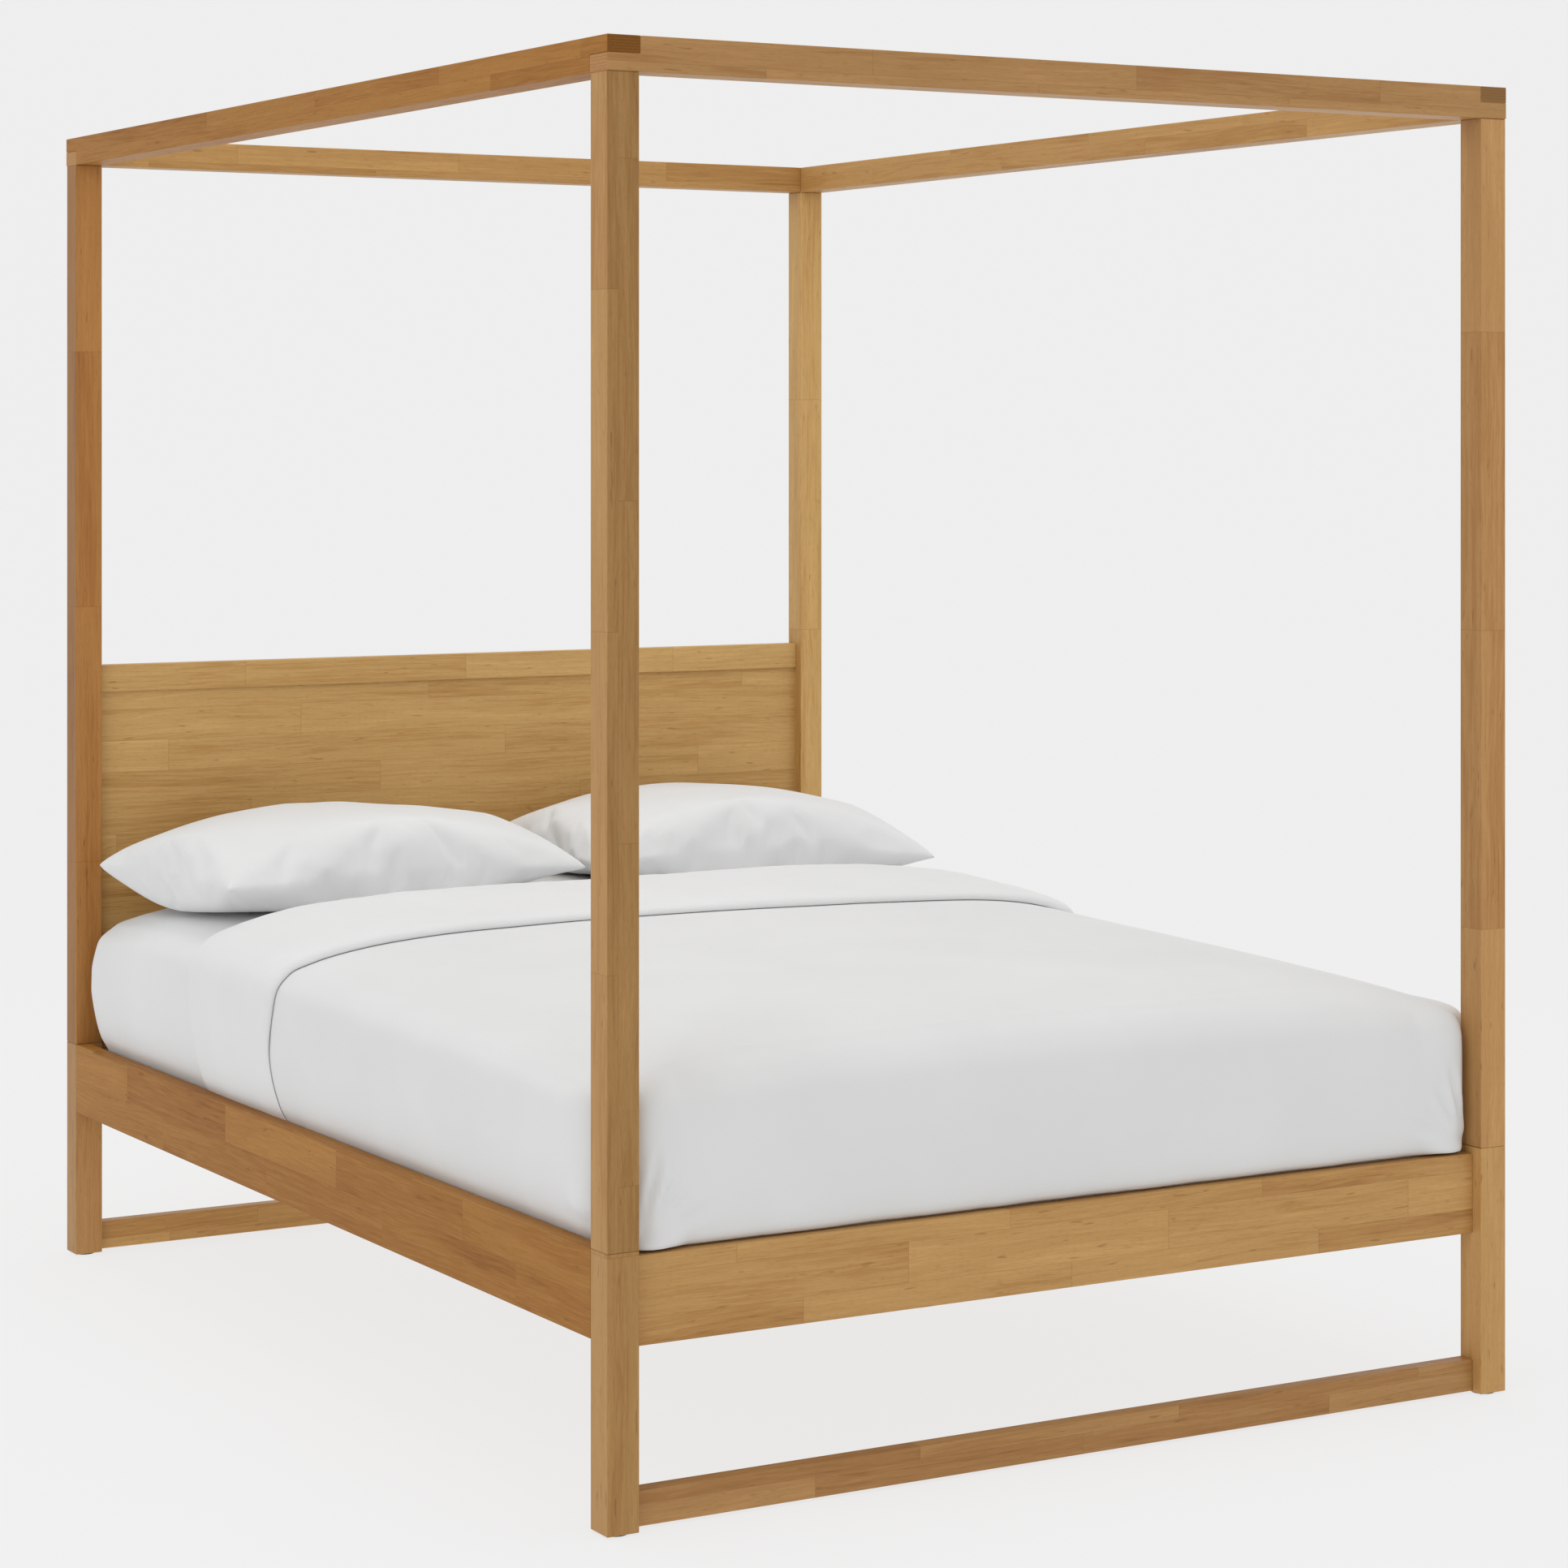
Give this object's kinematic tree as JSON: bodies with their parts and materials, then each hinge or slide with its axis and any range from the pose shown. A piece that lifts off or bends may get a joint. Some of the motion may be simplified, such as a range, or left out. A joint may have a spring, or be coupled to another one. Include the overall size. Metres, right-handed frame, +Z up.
{
  "type": "four poster canopy bed",
  "caption": "Wooden four poster bed with an open box canopy frame, a plank headboard, low stretchers, a slatted base, and a made-up mattress with pillows.",
  "frame": {"origin": "on the floor, under the centre of the bed's overall outline", "axes": "+Z up, +Y along the bed towards the head, +X across the bed towards its right-hand side seen from the foot"},
  "size_m": [1.602, 2.152, 2.06],
  "materials": {
    "frame_wood": "satin",
    "pine": "matte",
    "steel": "satin",
    "glide_plastic": "matte",
    "mattress_cover": "matte",
    "sheet_cotton": "matte",
    "coverlet_cotton": "matte",
    "pillow_fill": "matte"
  },
  "bodies": {
    "frame": {"lower_post_foot_left": "frame_wood", "lower_post_foot_right": "frame_wood", "lower_post_head_left": "frame_wood", "lower_post_head_right": "frame_wood", "upper_post_foot_left": "frame_wood", "upper_post_foot_right": "frame_wood", "upper_post_head_left": "frame_wood", "upper_post_head_right": "frame_wood", "post_pins": "steel", "canopy_rail_left": "frame_wood", "canopy_rail_right": "frame_wood", "canopy_rail_foot": "frame_wood", "canopy_rail_head": "frame_wood", "canopy_bolts": "steel", "canopy_dowels": "pine", "threaded_inserts": "steel", "headboard_cap_rail": "frame_wood", "headboard_panel": "frame_wood", "headboard_lower_rail": "frame_wood", "head_stretcher": "frame_wood", "foot_rail": "frame_wood", "foot_stretcher": "frame_wood", "side_rail_left": "frame_wood", "side_rail_right": "frame_wood", "rail_hook_plates": "steel", "hook_plate_screws": "steel", "post_keeper_plates": "steel", "keeper_plate_screws": "steel", "slat_ledger_left": "pine", "slat_ledger_right": "pine", "ledger_screws": "steel", "slat_screws": "steel", "centre_beam": "pine", "beam_hangers": "steel", "hanger_screws": "steel", "centre_leg": "pine", "leg_hanger_bolt": "steel", "post_glides": "glide_plastic", "slat_01": "pine", "slat_02": "pine", "slat_03": "pine", "slat_04": "pine", "slat_05": "pine", "slat_06": "pine", "slat_07": "pine", "slat_08": "pine", "slat_09": "pine", "slat_10": "pine", "slat_11": "pine", "slat_12": "pine"},
    "levelling_foot": {"levelling_foot": "glide_plastic"},
    "made_up_mattress": {"mattress": "mattress_cover", "fitted_sheet": "sheet_cotton", "coverlet": "coverlet_cotton", "flat_sheet_cuff": "sheet_cotton"},
    "left_pillow": {"pillow_left": "pillow_fill", "pillowcase_left": "sheet_cotton"},
    "right_pillow": {"pillow_right": "pillow_fill", "pillowcase_right": "sheet_cotton"}
  },
  "joints": [
    {"name": "mattress_lift", "type": "slide", "parent": "frame", "child": "made_up_mattress", "axis": [0, 0, 1], "range_m": [0, 0.35]},
    {"name": "left_pillow_lift", "type": "slide", "parent": "made_up_mattress", "child": "left_pillow", "axis": [0, 0, 1], "range_m": [0, 0.4]},
    {"name": "right_pillow_lift", "type": "slide", "parent": "made_up_mattress", "child": "right_pillow", "axis": [0, 0, 1], "range_m": [0, 0.4]},
    {"name": "levelling_foot_turn_in", "type": "slide", "parent": "frame", "child": "levelling_foot", "axis": [0, 0, 1], "range_m": [0, 0.01]}
  ]
}
